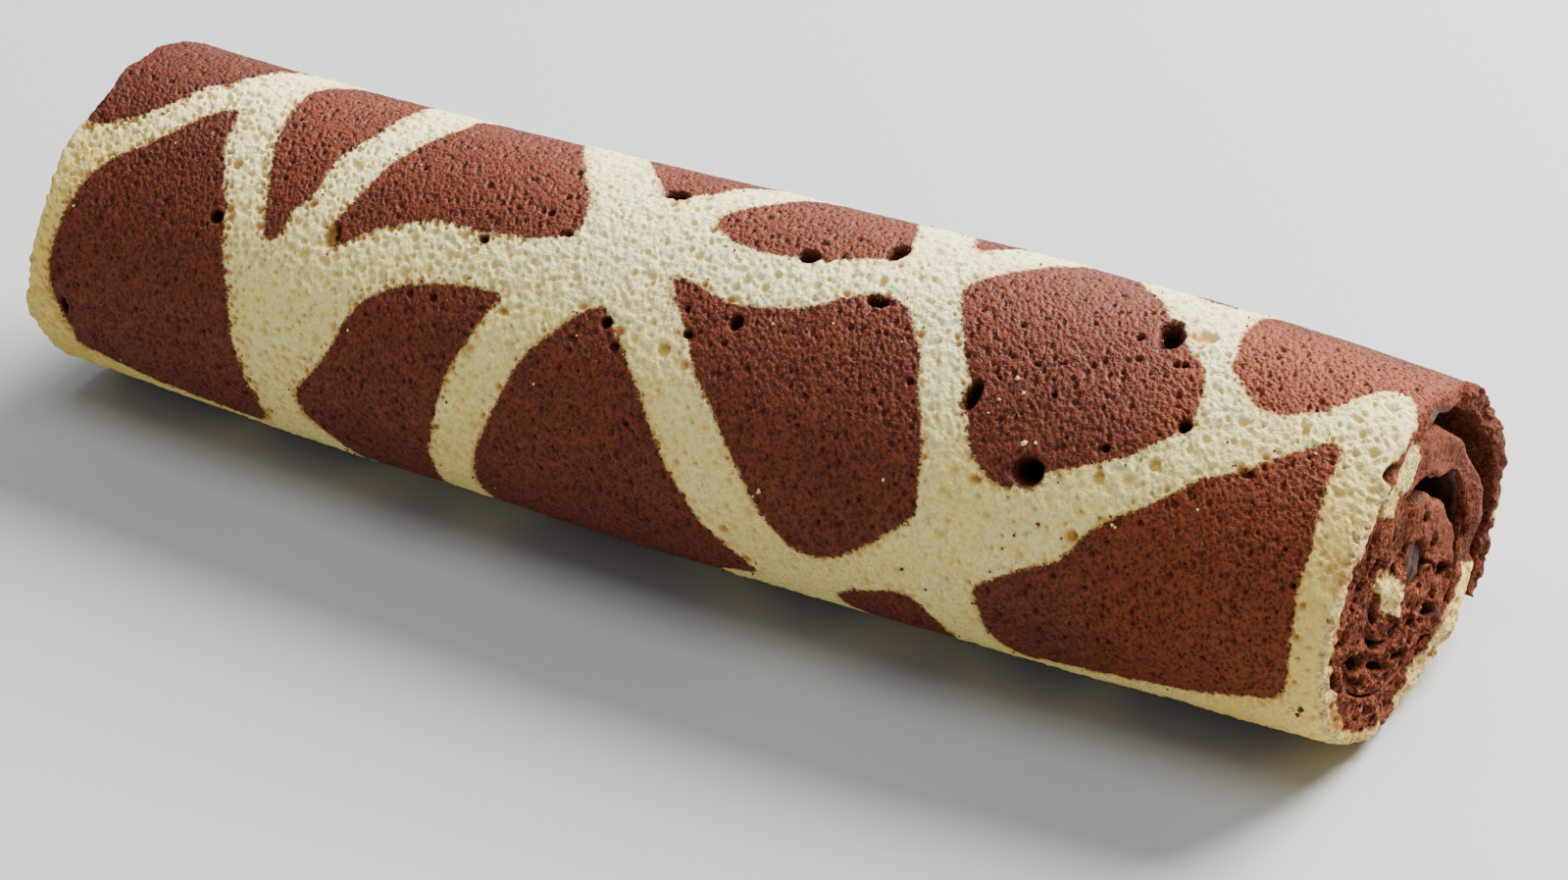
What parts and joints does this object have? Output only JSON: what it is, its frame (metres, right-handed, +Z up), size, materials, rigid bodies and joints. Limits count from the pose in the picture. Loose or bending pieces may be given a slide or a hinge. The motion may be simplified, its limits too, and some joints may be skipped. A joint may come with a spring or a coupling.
{
  "type": "swiss roll cake",
  "caption": "Whole rolled sponge cake lying on its seam side, with a giraffe-coat pattern of chocolate patches on pale vanilla sponge and a thin ganache filling wound inside.",
  "frame": {"origin": "middle of the length, on the flat base, under the middle of the roll's end sections", "axes": "+X along the roll towards the cut end that shows the spiral, +Y towards the back with the seam, +Z up"},
  "size_m": [0.3, 0.0877, 0.0674],
  "materials": {
    "chocolate": "matt porous chocolate sponge",
    "vanilla": "matt porous vanilla sponge",
    "ganache": "soft sheen dark ganache"
  },
  "bodies": {
    "root": {"chocolate_sponge": "chocolate", "vanilla_pattern": "vanilla", "vanilla_strip_second_turn": "vanilla", "vanilla_strip_core": "vanilla", "ganache_filling": "ganache", "ganache_core": "ganache"}
  },
  "joints": []
}
